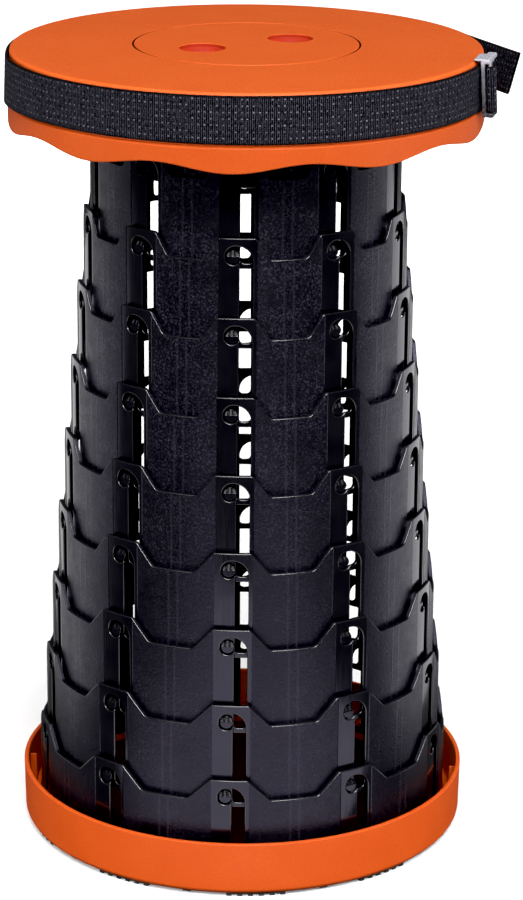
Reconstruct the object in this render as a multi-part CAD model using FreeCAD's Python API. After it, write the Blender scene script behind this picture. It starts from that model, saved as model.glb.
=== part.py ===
import FreeCAD, Part
import math
import os

from FreeCAD import Rotation, Vector

# Collapsible telescopic stool: ten nested rings that lock by pins in J-shaped slots,
# a seat with a webbing strap on top and a shallow tray below. Millimetres, +Z up,
# origin on the floor at the stool's axis, -Y towards the viewer. Azimuths are in
# degrees from -Y towards +X.

os.makedirs("parts", exist_ok=True)

# ---------------------------------------------------------------- driving sizes
COLUMNS = 10  # locking columns around every ring
STEP = 360.0 / COLUMNS
RINGS = 10
RING_1_RADIUS = 81.92  # outer radius of the innermost ring
RING_STEP = 3.952  # growth of the outer radius from ring to ring
WALL = 2.4
PITCH = 42.65  # height of one locked stage
LOWEST_PIN_Z = 55.55  # lowest row of pins, locked
SLOT_AZIMUTH_1 = 0.6  # slot of the innermost ring
TURN_PER_RING = -0.2  # play of each lock, which adds up down the tower

PIN_R = 3.5
PIN_OFFSET = 7.0  # from the slot's middle to the pocket
POCKET_R = 4.1
SLOT_RIGHT = 3.9  # straight slot, right and left of its middle line
SLOT_LEFT = 3.3
SLOT_END_R = 2.6  # rounding of the slot's closed end
SLOT_FLOOR = -4.2  # closed end of the slot below the ring's own pins
RING_FLOOR = -7.2  # lower edge below the ring's own pins
TAB_RISE = 10.4  # tab top above the pocket's middle
VALLEY_DROP = 12.0
TAB_HALF = 10.5
TAB_SHIFT = -5.0
VALLEY_HALF_DEG = 6.7
BAND_LEFT = -14.8
BAND_RIGHT = 6.4
BAND_DEPTH = 0.2
TRACK_SKIN = 1.0  # outer face to the hidden track on the inside
PIN_RECESS = 1.4  # pin tip below the outer face of the ring that it locks into

TRAY_R = 127.4
TRAY_TOP = 32.5
TRAY_FLOOR_LOW = 2.0
TRAY_FLOOR_TOP = 5.0
TRAY_WALL = 2.5

SEAT_RIM_Z = 450.0
SEAT_CROWN = 1.5
SEAT_R = 128.9
SEAT_PLATE = 2.4
STRAP_LOW = 422.6
STRAP_WIDTH = 25.4
STRAP_THICK = 1.8
SKIRT_R = 130.4
SKIRT_IN = 128.2
SKIRT_EDGE_Z = 410.5
SKIRT_WAVE = 2.3
CAP_R = 61.6
CAP_GAP = 0.6
FINGER_R = 12.6
FINGER_SPACING = 56.1
FINGER_AZIMUTH = 58.4


# ---------------------------------------------------------------- helpers
def save(shape, name):
    shape.exportStep("parts/%s.step" % name)
    solids = shape.Solids
    print(
        "%-20s solids %d valid %s volume %.1f"
        % (name, len(solids), shape.isValid(), sum(s.Volume for s in solids))
    )


def turned(shape, azimuth):
    """A copy turned about the axis by an azimuth."""
    s = shape.copy()
    s.rotate(Vector(0, 0, 0), Vector(0, 0, 1), azimuth)
    return s


def tube(outer, inner, low, high):
    return Part.makeCylinder(outer, high - low, Vector(0, 0, low)).cut(
        Part.makeCylinder(inner, high - low + 2, Vector(0, 0, low - 1))
    )


def slice_of(radius, low, high, az_from, az_to):
    """A pie slice between two azimuths."""
    s = Part.makeCylinder(
        radius, high - low, Vector(0, 0, low), Vector(0, 0, 1), az_to - az_from
    )
    s.rotate(Vector(0, 0, 0), Vector(0, 0, 1), az_from - 90.0)
    return s


def rounded(points, radii, closed=True):
    """Edges of a flat polygon in (x, z) whose corners are rounded."""
    n = len(points)
    cut = []
    for i in range(n):
        p, a, b = points[i], points[i - 1], points[(i + 1) % n]
        r = radii[i]
        if r <= 0:
            cut.append((p, None, p))
            continue
        va = Vector(a[0] - p[0], 0, a[1] - p[1]).normalize()
        vb = Vector(b[0] - p[0], 0, b[1] - p[1]).normalize()
        half = va.getAngle(vb) / 2
        d = r / math.tan(half)
        mid = (va + vb).normalize() * (r / math.sin(half) - r)
        cut.append(
            (
                (p[0] + va.x * d, p[1] + va.z * d),
                (p[0] + mid.x, p[1] + mid.z),
                (p[0] + vb.x * d, p[1] + vb.z * d),
            )
        )
    edges = []
    for i in range(n):
        start, mid, end = cut[i]
        if mid is not None:
            edges.append(
                Part.Arc(
                    Vector(start[0], 0, start[1]),
                    Vector(mid[0], 0, mid[1]),
                    Vector(end[0], 0, end[1]),
                ).toShape()
            )
        nxt = cut[(i + 1) % n][0]
        if math.hypot(end[0] - nxt[0], end[1] - nxt[1]) > 1e-6:
            edges.append(
                Part.LineSegment(
                    Vector(end[0], 0, end[1]), Vector(nxt[0], 0, nxt[1])
                ).toShape()
            )
    return edges


def prism(edges, near, far):
    """A flat outline in (x, z) pushed through the front wall, from y = -near to y = -far."""
    face = Part.Face(Part.Wire(Part.__sortEdges__(edges)))
    face.translate(Vector(0, -near, 0))
    return face.extrude(Vector(0, -(far - near), 0))


def degrees_of(arc, radius):
    return math.degrees(arc / radius)


# ---------------------------------------------------------------- rings
def ring_radius(n):
    return RING_1_RADIUS + RING_STEP * (n - 1)


def slot_azimuth(n):
    return SLOT_AZIMUTH_1 + TURN_PER_RING * (n - 1)


def pocket_z(n):
    """Height of the pins that lock into ring n."""
    return LOWEST_PIN_Z + PITCH * (RINGS - n)


def slot_outline(n):
    """The J: a straight slot whose top arches over to a round pocket on its left."""
    z = pocket_z(n)
    low = z - PITCH + SLOT_FLOOR
    lip = math.sqrt(POCKET_R**2 - (PIN_OFFSET - SLOT_LEFT) ** 2)
    left = -PIN_OFFSET - POCKET_R

    def at(x, dz):
        return Vector(x, 0, z + dz)

    a = math.radians(250)
    end = SLOT_END_R if n < RINGS else 0.0
    k = end * (1 - math.sqrt(0.5))

    def foot(x, dz):
        return Vector(x, 0, low + dz)

    edges = [
        Part.LineSegment(foot(SLOT_RIGHT, end), at(SLOT_RIGHT, -2.5)).toShape(),
        Part.Arc(at(SLOT_RIGHT, -2.5), at(1.3, 3.5), at(-5.0, 6.1)).toShape(),
        Part.Arc(at(-5.0, 6.1), at(-9.4, 4.5), at(left, 0.6)).toShape(),
        Part.LineSegment(at(left, 0.6), at(left, 0)).toShape(),
        Part.Arc(
            at(left, 0),
            at(-PIN_OFFSET + POCKET_R * math.cos(a), POCKET_R * math.sin(a)),
            at(-SLOT_LEFT, -lip),
        ).toShape(),
        Part.LineSegment(at(-SLOT_LEFT, -lip), foot(-SLOT_LEFT, end)).toShape(),
        Part.LineSegment(foot(-SLOT_LEFT + end, 0), foot(SLOT_RIGHT - end, 0)).toShape(),
    ]
    if end:
        edges += [
            Part.Arc(
                foot(-SLOT_LEFT, end), foot(-SLOT_LEFT + k, k), foot(-SLOT_LEFT + end, 0)
            ).toShape(),
            Part.Arc(
                foot(SLOT_RIGHT - end, 0), foot(SLOT_RIGHT - k, k), foot(SLOT_RIGHT, end)
            ).toShape(),
        ]
    return edges


def valley_outline(n):
    r = ring_radius(n)
    top = pocket_z(n) + TAB_RISE
    wide = r * math.sin(math.radians(STEP / 2 - degrees_of(TAB_HALF, r)))
    low = r * math.sin(math.radians(VALLEY_HALF_DEG))
    pts = [
        (-low, top - VALLEY_DROP),
        (low, top - VALLEY_DROP),
        (wide, top),
        (wide + 6, top),
        (wide + 6, top + 5),
        (-wide - 6, top + 5),
        (-wide - 6, top),
        (-wide, top),
    ]
    return rounded(pts, [3.5, 3.5, 2.5, 0, 0, 0, 0, 2.5])


def pin(n):
    """A pin of ring n that locks into ring n + 1, with its snap-in ramp on the upper half."""
    z = pocket_z(n + 1)
    root = ring_radius(n) - 0.8
    tip = ring_radius(n + 1) - PIN_RECESS
    body = Part.makeCylinder(PIN_R, tip - root, Vector(0, -root, z), Vector(0, -1, 0))
    ramp = Part.makePolygon(
        [
            Vector(-5, -tip - 1, z + 0.3),
            Vector(-5, -tip, z + 0.3),
            Vector(-5, -tip + 1.9, z + PIN_R + 0.1),
            Vector(-5, -tip - 1, z + PIN_R + 0.1),
            Vector(-5, -tip - 1, z + 0.3),
        ]
    )
    return body.cut(Part.Face(ramp).extrude(Vector(10, 0, 0)))


def ring(n):
    r = ring_radius(n)
    inner = r - WALL
    azimuth = slot_azimuth(n)
    top = pocket_z(n) + TAB_RISE
    low = pocket_z(n) - PITCH + RING_FLOOR
    if n == RINGS:
        low = TRAY_FLOOR_TOP
    if n == 1:
        top = SEAT_RIM_Z - SEAT_PLATE
    body = tube(r, inner, low, top)
    cuts = []
    for c in range(COLUMNS):
        here = azimuth + c * STEP
        band = slice_of(
            r + 2,
            low - 1,
            top + 1,
            degrees_of(BAND_LEFT, r),
            degrees_of(BAND_RIGHT, r),
        ).cut(Part.makeCylinder(r - BAND_DEPTH, top - low + 4, Vector(0, 0, low - 2)))
        cuts.append(turned(band, here))
        if n > 1:
            slot = prism(slot_outline(n), inner - 4, r + 4)
            cuts.append(turned(slot, here))
            track = slice_of(
                r - TRACK_SKIN,
                pocket_z(n) - PITCH + SLOT_FLOOR,
                pocket_z(n) + 4.2,
                degrees_of(-PIN_OFFSET - POCKET_R - 0.3, r),
                0.0,
            )
            cuts.append(turned(track, here))
            valley = prism(
                valley_outline(n), inner * math.cos(math.radians(20)) - 3, r + 3
            )
            middle = degrees_of(TAB_SHIFT, r) + STEP / 2
            cuts.append(turned(valley, here + middle))
    body = body.cut(cuts)
    if n < RINGS:
        offset = math.degrees(math.asin(PIN_OFFSET / ring_radius(n + 1)))
        pins = [
            turned(pin(n), slot_azimuth(n + 1) - offset + c * STEP)
            for c in range(COLUMNS)
        ]
        body = body.fuse(pins)
    if n == 1:
        flange_top = top - 6.2
        body = body.fuse(tube(inner + 0.5, 65.0, flange_top - 2.5, flange_top))
        holes = []
        for c in range(5):
            h = Part.makeCylinder(1.95, 6, Vector(0, -72.0, flange_top - 4))
            holes.append(turned(h, 18 + 72 * c))
        body = body.cut(holes)
    return body.removeSplitter()


for n in range(1, RINGS + 1):
    save(ring(n), "ring_%02d" % n)


# ---------------------------------------------------------------- base tray
def revolved(points):
    """A solid turned from a closed outline in (radius, z)."""
    wire = Part.makePolygon([Vector(x, 0, z) for x, z in points + points[:1]])
    return Part.Face(wire).revolve(Vector(0, 0, 0), Vector(0, 0, 1), 360)


tray = revolved(
    [
        (0, TRAY_FLOOR_LOW),
        (TRAY_R - 3.0, TRAY_FLOOR_LOW),
        (TRAY_R - 1.6, TRAY_FLOOR_LOW + 0.5),
        (TRAY_R - 0.8, TRAY_FLOOR_LOW + 1.6),
        (TRAY_R - 0.5, TRAY_FLOOR_LOW + 3.0),
        (TRAY_R, TRAY_TOP - 0.6),
        (TRAY_R - 0.5, TRAY_TOP),
        (TRAY_R - TRAY_WALL + 0.4, TRAY_TOP),
        (TRAY_R - TRAY_WALL, TRAY_TOP - 0.5),
        (TRAY_R - TRAY_WALL - 0.6, TRAY_FLOOR_TOP + 1.5),
        (TRAY_R - TRAY_WALL - 2.0, TRAY_FLOOR_TOP),
        (0, TRAY_FLOOR_TOP),
    ]
)
outer_ring = ring_radius(RINGS)
collar = tube(outer_ring + 2.8, outer_ring + 0.4, TRAY_FLOOR_TOP - 0.5, 14.0)
extra = [collar]
slot_low = pocket_z(RINGS) - PITCH + SLOT_FLOOR
for c in range(COLUMNS):
    # a lug of the collar reaches through each slot of the lowest ring and holds it down
    lug = Part.makeBox(
        5.6, outer_ring + 1.0 - (outer_ring - 1.8), 3.0,
        Vector(-2.8, -(outer_ring + 1.0), slot_low + 0.3),
    )
    extra.append(turned(lug, slot_azimuth(RINGS) + c * STEP))
    # a low rib stiffens the wall in each bay
    rib = Part.makeBox(
        1.2, 4.0, 22.0, Vector(-0.6, -(TRAY_R - TRAY_WALL + 0.4), TRAY_FLOOR_TOP - 0.5)
    )
    extra.append(turned(rib, 14.5 + c * STEP))
tray = tray.fuse(extra).removeSplitter()
save(tray, "base_tray")

# ---------------------------------------------------------------- feet
PAD_IN, PAD_OUT = 112.0, 124.2
PAD_HALF_DEG = 7.6
TEETH = 6
pads, blocks = [], []
for c in range(COLUMNS):
    pad = slice_of(PAD_OUT, 1.1, TRAY_FLOOR_LOW, -PAD_HALF_DEG, PAD_HALF_DEG).cut(
        Part.makeCylinder(PAD_IN, 6, Vector(0, 0, -1))
    )
    teeth = []
    for t in range(TEETH):
        width = 2 * PAD_HALF_DEG / (2 * TEETH - 1)
        a = -PAD_HALF_DEG + 2 * t * width
        teeth.append(
            slice_of(PAD_OUT, 0.0, 1.2, a, a + width).cut(
                Part.makeCylinder(PAD_IN, 6, Vector(0, 0, -1))
            )
        )
    pads.append(turned(pad.fuse(teeth).removeSplitter(), 3.7 + c * STEP))
    block = slice_of(PAD_OUT - 0.6, 0.6, TRAY_FLOOR_LOW, -1.1, 1.1).cut(
        Part.makeCylinder(PAD_OUT - 7.0, 6, Vector(0, 0, -1))
    )
    blocks.append(turned(block, 21.7 + c * STEP))
save(Part.makeCompound(pads), "base_foot_pads")
save(Part.makeCompound(blocks), "base_foot_blocks")

# ---------------------------------------------------------------- seat shell
crown_r = (SEAT_R**2 + SEAT_CROWN**2) / (2 * SEAT_CROWN)


def crown_z(r):
    """Height of the domed seat top."""
    return SEAT_RIM_Z + math.sqrt(crown_r**2 - r * r) - (crown_r - SEAT_CROWN)


def arc_points(r_from, r_to, drop, steps=6):
    return [
        (r_from + (r_to - r_from) * i / steps, crown_z(r_from + (r_to - r_from) * i / steps) - drop)
        for i in range(steps + 1)
    ]


cap_hole = CAP_R + CAP_GAP
under = SEAT_RIM_Z - SEAT_PLATE
outline = (
    [(cap_hole, 448.6)]
    + [(cap_hole, crown_z(cap_hole) - 0.4), (cap_hole + 0.4, crown_z(cap_hole + 0.4))]
    + arc_points(cap_hole + 0.4, SEAT_R - 1.9, 0.0)[1:]
    + [
        (SEAT_R - 0.9, SEAT_RIM_Z - 0.35),
        (SEAT_R - 0.25, SEAT_RIM_Z - 0.95),
        (SEAT_R, SEAT_RIM_Z - 1.7),
        (SEAT_R, 422.2),
        (SKIRT_R - 0.6, 421.9),
        (SKIRT_R, 421.2),
        (SKIRT_R, 404.0),
        (SKIRT_IN, 404.0),
        (SKIRT_IN, 421.0),
        (SEAT_R - 2.5, 423.0),
        (SEAT_R - 2.5, under - 1.5),
        (SEAT_R - 4.0, under),
        (79.1, under),
        (79.1, under - 6.1),
        (66.0, under - 6.1),
        (58.0, under - 1.0),
        (58.0, 448.6),
    ]
)
seat = revolved(outline)

# wavy lower edge of the skirt: one lobe over each tab
count = 72
inner_pts, outer_pts = [], []
for i in range(count):
    az = math.radians(360.0 * i / count)
    z = SKIRT_EDGE_Z - SKIRT_WAVE * math.cos(COLUMNS * (az - math.radians(-3.4)))
    for store, r in ((inner_pts, 118.0), (outer_pts, 140.0)):
        store.append(Vector(r * math.sin(az), -r * math.cos(az), z))
edges = []
for pts in (inner_pts, outer_pts):
    curve = Part.BSplineCurve()
    curve.interpolate(pts, True)
    edges.append(curve.toShape())
wave = Part.makeRuledSurface(edges[0], edges[1])
seat = seat.cut(wave.extrude(Vector(0, 0, -20)))
screw_holes = []
for c in range(5):
    h = Part.makeCylinder(1.75, 5.2, Vector(0, -72.0, under - 7.0))
    screw_holes.append(turned(h, 18 + 72 * c))
seat = seat.cut(screw_holes).removeSplitter()
save(seat, "seat_shell")

# ---------------------------------------------------------------- seat cap
cap = revolved(
    [(0, 448.8), (CAP_R, 448.8), (CAP_R, crown_z(CAP_R) - 0.4), (CAP_R - 0.4, crown_z(CAP_R - 0.4))]
    + list(reversed(arc_points(0.0, CAP_R - 0.4, 0.0)))[1:]
)
CUP_DEPTH = 15.0
cups, holes = [], []
for side in (-1, 1):
    d = side * FINGER_SPACING / 2
    x, y = d * math.sin(math.radians(FINGER_AZIMUTH)), d * math.cos(math.radians(FINGER_AZIMUTH))
    cups.append(Part.makeCylinder(FINGER_R + 1.8, CUP_DEPTH + 1.8, Vector(x, y, 449.5 - CUP_DEPTH - 1.8)))
    holes.append(Part.makeCylinder(FINGER_R, CUP_DEPTH + 5, Vector(x, y, 449.8 - CUP_DEPTH)))
    holes.append(Part.makeCone(FINGER_R, FINGER_R + 1.2, 1.2, Vector(x, y, 450.2)))
hooks = []
for c in range(4):
    stem = Part.makeBox(10, 1.6, 5.6, Vector(-5, -57.4, 443.4))
    nose = Part.makeBox(10, 1.4, 1.6, Vector(-5, -58.8, 443.4))
    hooks.append(turned(stem.fuse(nose), 45 + 90 * c))
cap = cap.fuse(cups + hooks).cut(holes).removeSplitter()
save(cap, "seat_cap")

# ---------------------------------------------------------------- seat screws
screws = []
flange_low = under - 6.2 - 2.5
for c in range(5):
    head = Part.makeCylinder(3.4, 1.8, Vector(0, -72.0, flange_low - 1.85))
    recess = Part.makeBox(4.4, 1.0, 1.1, Vector(-2.2, -72.5, flange_low - 1.9)).fuse(
        Part.makeBox(1.0, 4.4, 1.1, Vector(-0.5, -74.2, flange_low - 1.9))
    )
    shank = Part.makeCylinder(1.6, 6.7, Vector(0, -72.0, flange_low - 0.1))
    screws.append(turned(head.cut(recess).fuse(shank).removeSplitter(), 18 + 72 * c))
save(Part.makeCompound(screws), "seat_screws")

# ---------------------------------------------------------------- strap
STRAP_IN = SEAT_R + 0.3
strap_top = STRAP_LOW + STRAP_WIDTH
band = tube(STRAP_IN + STRAP_THICK, STRAP_IN, STRAP_LOW, strap_top)


def rim_point(azimuth, r):
    a = math.radians(azimuth)
    return (r * math.sin(a), -r * math.cos(a))


def ribbon(points, thick, low, high):
    """An upright ribbon along flat points, with its thickness shared on both sides."""
    left, right = [], []
    for i, (x, y) in enumerate(points):
        a = points[max(i - 1, 0)]
        b = points[min(i + 1, len(points) - 1)]
        t = Vector(b[0] - a[0], b[1] - a[1], 0).normalize()
        nx, ny = -t.y * thick / 2, t.x * thick / 2
        left.append(Vector(x + nx, y + ny, low))
        right.append(Vector(x - nx, y - ny, low))
    ring_pts = left + right[::-1]
    return Part.Face(Part.makePolygon(ring_pts + ring_pts[:1])).extrude(
        Vector(0, 0, high - low)
    )


lap_r = STRAP_IN + STRAP_THICK * 1.5 - 0.05
tail_path = [rim_point(a, lap_r) for a in range(152, 121, -3)]
tail_path += [(121.0, 52.6), (130.6, 32.5), (139.0, 13.2), (145.8, -4.6)]
tail = ribbon(tail_path, STRAP_THICK, STRAP_LOW + 0.05, strap_top - 0.05)
strap = band.fuse(tail).removeSplitter()
save(strap, "strap")

# ---------------------------------------------------------------- buckle
BUCKLE_AZIMUTH = 75.5
BUCKLE_IN = STRAP_IN + STRAP_THICK + 0.35
BUCKLE_LENGTH = 23.0
BUCKLE_DEPTH = 7.4
BUCKLE_LOW, BUCKLE_HIGH = 420.2, 451.6
rail_t = 2.8


def bar(x_from, x_to, y_from, y_to, z_from, z_to):
    return Part.makeBox(
        x_to - x_from, y_to - y_from, z_to - z_from, Vector(x_from, -y_to, z_from)
    )


half = BUCKLE_LENGTH / 2
near, far = BUCKLE_IN + 0.4, BUCKLE_IN + BUCKLE_DEPTH
frame = bar(-half, half, near, far, BUCKLE_LOW, BUCKLE_LOW + rail_t)
frame = frame.fuse(
    [
        bar(-half, half, near, far, BUCKLE_HIGH - rail_t, BUCKLE_HIGH),
        bar(-half, -half + 3.4, near, near + 3.4, BUCKLE_LOW, BUCKLE_HIGH),
        bar(-2.0, 2.0, near + 1.6, near + 4.4, BUCKLE_LOW, BUCKLE_HIGH),
        bar(half - 3.4, half, near, near + 3.4, BUCKLE_LOW, BUCKLE_HIGH),
        bar(-half, -half + 4.6, far - 1.6, far, BUCKLE_LOW, BUCKLE_HIGH),
    ]
).removeSplitter()
frame = frame.makeFillet(
    0.7, [e for e in frame.Edges if abs(e.BoundBox.YLength - (far - near)) < 0.01]
)
save(turned(frame, BUCKLE_AZIMUTH), "buckle_frame")
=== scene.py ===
import math

import bmesh
import bpy
import numpy as np
from mathutils import Matrix, Vector
from mathutils.geometry import delaunay_2d_cdt


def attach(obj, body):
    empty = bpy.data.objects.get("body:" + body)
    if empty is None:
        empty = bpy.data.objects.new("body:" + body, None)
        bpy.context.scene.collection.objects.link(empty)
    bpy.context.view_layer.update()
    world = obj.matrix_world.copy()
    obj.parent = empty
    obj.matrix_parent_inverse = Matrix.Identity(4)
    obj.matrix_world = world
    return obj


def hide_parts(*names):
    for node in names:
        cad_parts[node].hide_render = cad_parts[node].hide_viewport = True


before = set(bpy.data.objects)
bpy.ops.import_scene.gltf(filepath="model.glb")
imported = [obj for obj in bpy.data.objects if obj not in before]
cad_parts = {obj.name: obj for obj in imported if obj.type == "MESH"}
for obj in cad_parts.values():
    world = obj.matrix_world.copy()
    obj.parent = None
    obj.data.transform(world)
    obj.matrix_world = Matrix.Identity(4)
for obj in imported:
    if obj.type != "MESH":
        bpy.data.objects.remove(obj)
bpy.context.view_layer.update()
MM = 0.001

# ------------------------------------------------------------------ sizes, in millimetres
COLUMNS, RINGS = 10, 10
STEP = 36.0
WALL = 2.4
PITCH = 42.65
PIN_OFFSET, POCKET_R, SLOT_LEFT, SLOT_RIGHT, SLOT_END_R = 7.0, 4.1, 3.3, 3.9, 2.6
SLOT_FLOOR, RING_FLOOR, TAB_RISE, VALLEY_DROP = -4.2, -7.2, 10.4, 12.0
TAB_HALF, TAB_SHIFT, VALLEY_HALF_DEG = 10.5, -5.0, 6.7
BAND_LEFT, BAND_RIGHT, BAND_DEPTH = -14.8, 6.4, 0.2
TRACK_SKIN, PIN_RECESS = 1.0, 1.4
TRAY_R, TRAY_TOP, TRAY_WALL = 127.4, 32.5, 2.5
SEAT_RIM_Z, SEAT_CROWN, SEAT_R = 450.0, 1.5, 128.9
STRAP_LOW, STRAP_WIDTH, STRAP_THICK = 422.6, 25.4, 1.8
SKIRT_R, SKIRT_IN, SKIRT_EDGE_Z, SKIRT_WAVE = 130.4, 128.2, 410.5, 2.3
CAP_R, CAP_GAP, FINGER_R = 61.6, 0.6, 12.6


def ring_radius(n):
    return 81.92 + 3.952 * (n - 1)


def slot_azimuth(n):
    return 0.6 - 0.2 * (n - 1)


def pocket_z(n):
    return 55.55 + PITCH * (RINGS - n)


# ------------------------------------------------------------------ mesh building
class Build:
    """Collects vertices with their own normals, then welds them into one mesh."""

    def __init__(self):
        self.v, self.n, self.uv, self.mid = [], [], [], []
        self.f, self.m = [], []
        self.count = 0

    def add(self, verts, normals, faces, mats=0, uv=None, mid=None):
        verts = np.asarray(verts, float).reshape(-1, 3)
        normals = np.asarray(normals, float).reshape(-1, 3)
        zero = np.zeros((len(verts), 2))
        self.v.append(verts)
        self.n.append(normals)
        self.uv.append(zero if uv is None else np.asarray(uv, float).reshape(-1, 2))
        self.mid.append(zero if mid is None else np.asarray(mid, float).reshape(-1, 2))
        base = self.count
        for i, face in enumerate(faces):
            self.f.append(tuple(int(k) + base for k in face))
            self.m.append(mats if isinstance(mats, int) else int(mats[i]))
        self.count += len(verts)

    def turned(self, other, azimuth):
        """Adds another build, turned about the axis."""
        a = math.radians(azimuth)
        rot = np.array(
            [[math.cos(a), -math.sin(a), 0], [math.sin(a), math.cos(a), 0], [0, 0, 1]]
        )
        for v, n, uv, mid in zip(other.v, other.n, other.uv, other.mid):
            self.v.append(v @ rot.T)
            self.n.append(n @ rot.T)
            self.uv.append(uv)
            self.mid.append(mid)
        self.f += [tuple(k + self.count for k in face) for face in other.f]
        self.m += other.m
        self.count += other.count

    def object(self, name, materials):
        v = np.concatenate(self.v) * MM
        n = np.concatenate(self.n)
        n = n / np.maximum(np.linalg.norm(n, axis=1), 1e-9)[:, None]
        uv = np.concatenate(self.uv) * MM
        mid = np.concatenate(self.mid) * MM
        keys = np.round(v * 1e7).astype(np.int64)
        _, first, inverse = np.unique(
            keys, axis=0, return_index=True, return_inverse=True
        )
        inverse = inverse.reshape(-1)
        nn = np.zeros((len(first), 3))
        np.add.at(nn, inverse, n)
        nn[np.linalg.norm(nn, axis=1) < 1e-6] = (0, 0, 1)
        nn /= np.linalg.norm(nn, axis=1)[:, None]
        vv = v[first]
        sizes = np.array([len(f) for f in self.f])
        mats_in = np.array(self.m)
        faces, mats, corners = [], [], []
        for size in np.unique(sizes):
            which = np.nonzero(sizes == size)[0]
            src = np.array([self.f[k] for k in which], int)
            idx = inverse[src]
            p = vv[idx]
            if size == 3:
                g = np.cross(p[:, 1] - p[:, 0], p[:, 2] - p[:, 0])
            elif size == 4:
                g = np.cross(p[:, 2] - p[:, 0], p[:, 3] - p[:, 1])
            else:
                c = p.mean(1, keepdims=True)
                g = np.cross(p - c, np.roll(p, -1, axis=1) - c).sum(1)
            wrong = (g * n[src].sum(1)).sum(1) < 0
            src[wrong] = src[wrong][:, ::-1]
            idx[wrong] = idx[wrong][:, ::-1]
            repeats = (idx == np.roll(idx, 1, axis=1)).any(1)
            if size == 4:
                repeats |= (idx[:, 0] == idx[:, 2]) | (idx[:, 1] == idx[:, 3])
            good = ~repeats
            faces += idx[good].tolist()
            corners += src[good].ravel().tolist()
            mats += mats_in[which][good].tolist()
            for k in np.nonzero(repeats)[0]:
                a, b = [], []
                for w, q in zip(idx[k].tolist(), src[k].tolist()):
                    if w not in a:
                        a.append(w)
                        b.append(q)
                if len(a) > 2:
                    faces.append(a)
                    corners += b
                    mats.append(int(mats_in[which[k]]))
        mesh = bpy.data.meshes.new(name)
        mesh.from_pydata(vv.tolist(), [], faces)
        mesh.polygons.foreach_set("material_index", mats)
        mesh.polygons.foreach_set("use_smooth", [True] * len(faces))
        for layer, values in (("flat", uv), ("mid", mid)):
            data = mesh.uv_layers.new(name=layer)
            data.data.foreach_set("uv", values[corners].astype(np.float32).ravel())
        mesh.update()
        mesh.normals_split_custom_set_from_vertices(nn.tolist())
        for m in materials:
            mesh.materials.append(m)
        ob = bpy.data.objects.new(name, mesh)
        bpy.context.scene.collection.objects.link(ob)
        return ob


def arc3(a, b, c, step=14.0):
    """Points of the arc from a through b to c."""
    ax, ay = a
    bx, by = b
    cx, cy = c
    d = 2 * (ax * (by - cy) + bx * (cy - ay) + cx * (ay - by))
    ux = (
        (ax * ax + ay * ay) * (by - cy)
        + (bx * bx + by * by) * (cy - ay)
        + (cx * cx + cy * cy) * (ay - by)
    ) / d
    uy = (
        (ax * ax + ay * ay) * (cx - bx)
        + (bx * bx + by * by) * (ax - cx)
        + (cx * cx + cy * cy) * (bx - ax)
    ) / d
    r = math.hypot(ax - ux, ay - uy)
    t0, t1, t2 = (math.atan2(y - uy, x - ux) for x, y in (a, b, c))
    span = (t2 - t0) % (2 * math.pi)
    if (t1 - t0) % (2 * math.pi) > span:
        span -= 2 * math.pi
    count = max(2, int(abs(math.degrees(span)) / step) + 1)
    return [
        (ux + r * math.cos(t0 + span * i / count), uy + r * math.sin(t0 + span * i / count))
        for i in range(count + 1)
    ]


def fillet(points, radii, closed=False, steps=5):
    """A path whose corners are rounded, as points."""
    out, n = [], len(points)
    for i, p in enumerate(points):
        if (not closed and i in (0, n - 1)) or radii[i] <= 0:
            out.append(tuple(p))
            continue
        p = np.array(p, float)
        a = np.array(points[i - 1], float) - p
        b = np.array(points[(i + 1) % n], float) - p
        a /= np.linalg.norm(a)
        b /= np.linalg.norm(b)
        half = math.acos(max(-1, min(1, float(a @ b)))) / 2
        if half > math.pi / 2 - 0.01:
            out.append(tuple(p))
            continue
        d = radii[i] / math.tan(half)
        mid = (a + b) / np.linalg.norm(a + b)
        centre = p + mid * radii[i] / math.sin(half)
        s, e = p + a * d - centre, p + b * d - centre
        t0 = math.atan2(s[1], s[0])
        t1 = math.atan2(e[1], e[0])
        span = (t1 - t0 + math.pi) % (2 * math.pi) - math.pi
        for k in range(steps + 1):
            t = t0 + span * k / steps
            out.append((centre[0] + radii[i] * math.cos(t), centre[1] + radii[i] * math.sin(t)))
    return out


def densify(points, step):
    out = [points[0]]
    for a, b in zip(points, points[1:]):
        n = max(1, int(math.ceil(math.dist(a, b) / step - 1e-9)))
        out += [
            (a[0] + (b[0] - a[0]) * k / n, a[1] + (b[1] - a[1]) * k / n)
            for k in range(1, n + 1)
        ]
    return out


def mitres(points, closed, side):
    """Unit steps into the material, at each point of an edge with the material on that side (1 left, -1 right)."""
    p = np.array(points, float)
    n = len(p)
    out = np.zeros((n, 2))
    for i in range(n):
        dirs = []
        if closed or i > 0:
            dirs.append(p[i] - p[i - 1])
        if closed or i < n - 1:
            dirs.append(p[(i + 1) % n] - p[i])
        ns = []
        for d in dirs:
            d = d / max(np.linalg.norm(d), 1e-9)
            ns.append(np.array([-d[1], d[0]]) * side)
        if len(ns) == 1:
            out[i] = ns[0]
        else:
            m = (ns[0] + ns[1]) / max(1 + float(ns[0] @ ns[1]), 0.35)
            out[i] = m / max(1.0, np.linalg.norm(m) / 1.6)
    return out


def inside(points, polygon):
    x, y = points[:, 0], points[:, 1]
    q = np.array(polygon, float)
    hit = np.zeros(len(points), bool)
    j = len(q) - 1
    for i in range(len(q)):
        xi, yi, xj, yj = q[i, 0], q[i, 1], q[j, 0], q[j, 1]
        if abs(yj - yi) > 1e-12:
            cross = ((yi > y) != (yj > y)) & (x < (xj - xi) * (y - yi) / (yj - yi) + xi)
            hit ^= cross
        j = i
    return hit


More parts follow.
